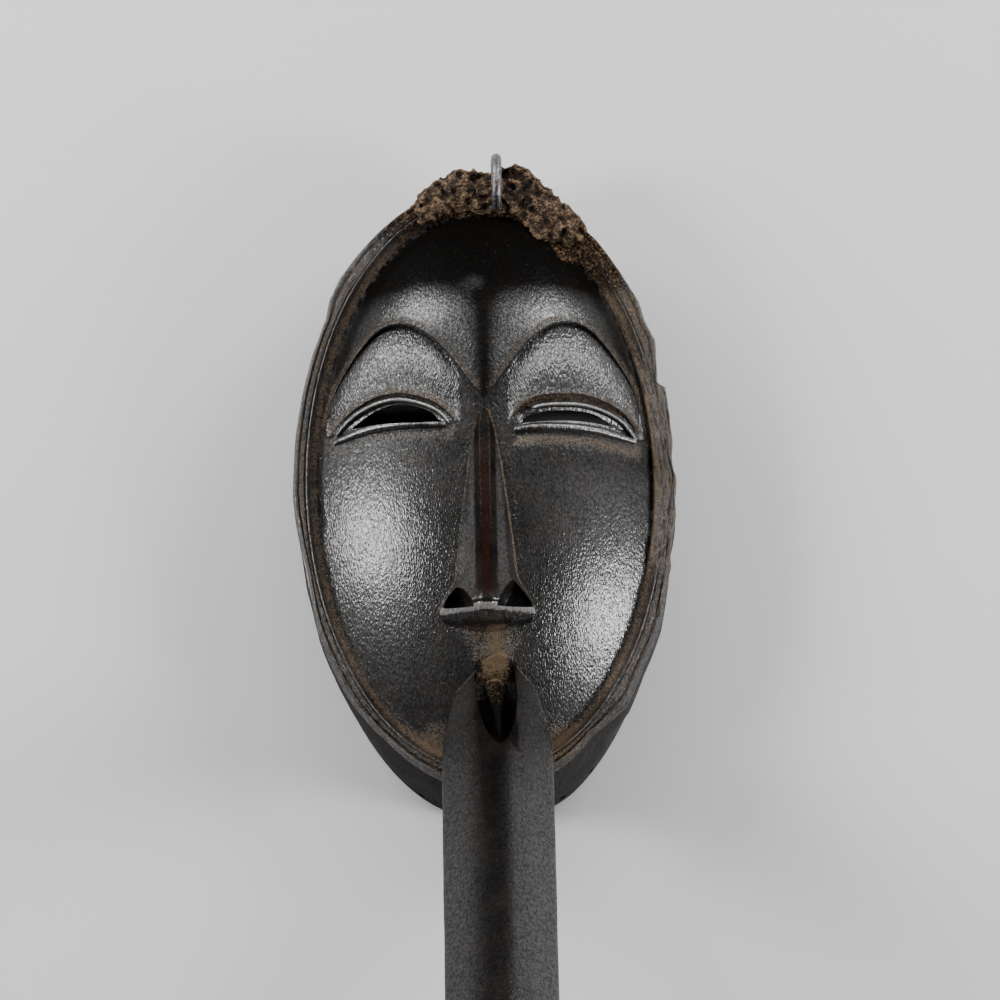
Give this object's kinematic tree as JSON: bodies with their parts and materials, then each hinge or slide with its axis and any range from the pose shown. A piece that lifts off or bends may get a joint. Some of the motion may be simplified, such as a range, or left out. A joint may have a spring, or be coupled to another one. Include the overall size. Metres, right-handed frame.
{
  "type": "dan bird mask",
  "caption": "Hollow oval wooden face mask with slit eyes, ridged rim and a long roof-shaped beak, with a crusted crown and an iron hanging staple.",
  "frame": {"origin": "on the floor under the middle of the whole mask, which lies on its back edge", "axes": "+X to the viewer's right across the face, +Y towards the crown, +Z out of the face"},
  "size_m": [0.1492, 0.3732, 0.1841],
  "materials": {
    "patinated_wood": "near-black glossy hand-worn patina with ochre dirt in the recesses",
    "iron": "dark forged iron, rubbed bright on its sides",
    "crust": "rough, matt, fibrous dried crust"
  },
  "bodies": {
    "root": {"mask_body": "patinated_wood", "hanging_staple": "iron", "crown_crust": "crust"}
  },
  "joints": []
}
